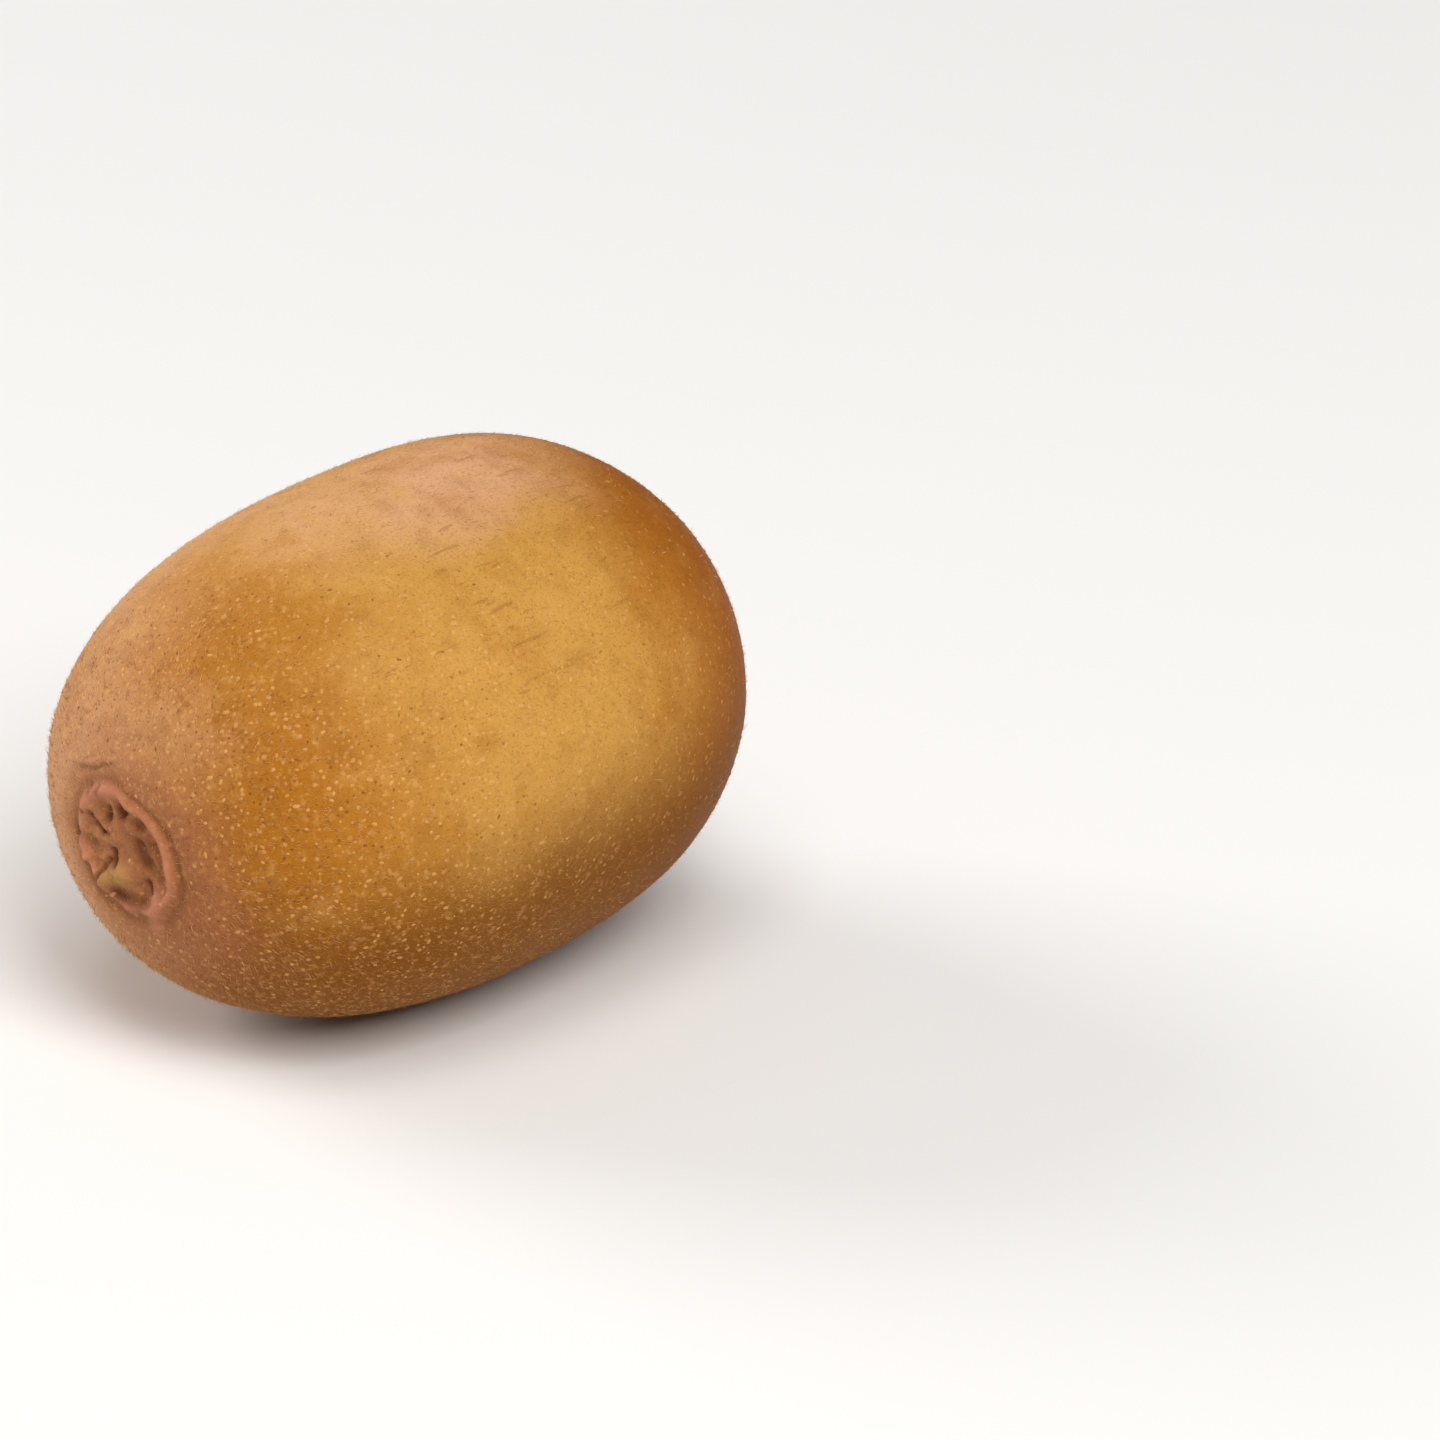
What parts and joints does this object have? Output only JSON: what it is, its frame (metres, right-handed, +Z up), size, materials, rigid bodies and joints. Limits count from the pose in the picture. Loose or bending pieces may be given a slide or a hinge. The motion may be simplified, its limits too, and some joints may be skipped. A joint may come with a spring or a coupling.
{
  "type": "golden kiwi fruit",
  "caption": "Whole golden kiwi fruit lying on its side: a blunt oval barrel with a puckered button at the blossom end and a dimpled stalk scar at the other.",
  "frame": {"origin": "middle of the fruit's outline seen from above, on the plane that it rests on", "axes": "+X along the fruit's long axis towards the stalk end, so the blossom end is at -X; +Z up; +Y sideways"},
  "size_m": [0.0736, 0.054, 0.0508],
  "materials": {
    "golden_skin": "matte golden-brown fruit skin with fine pale speckles and short fuzz, pinkish brown round the button"
  },
  "bodies": {
    "root": {"kiwi_fruit": "golden_skin"}
  },
  "joints": []
}
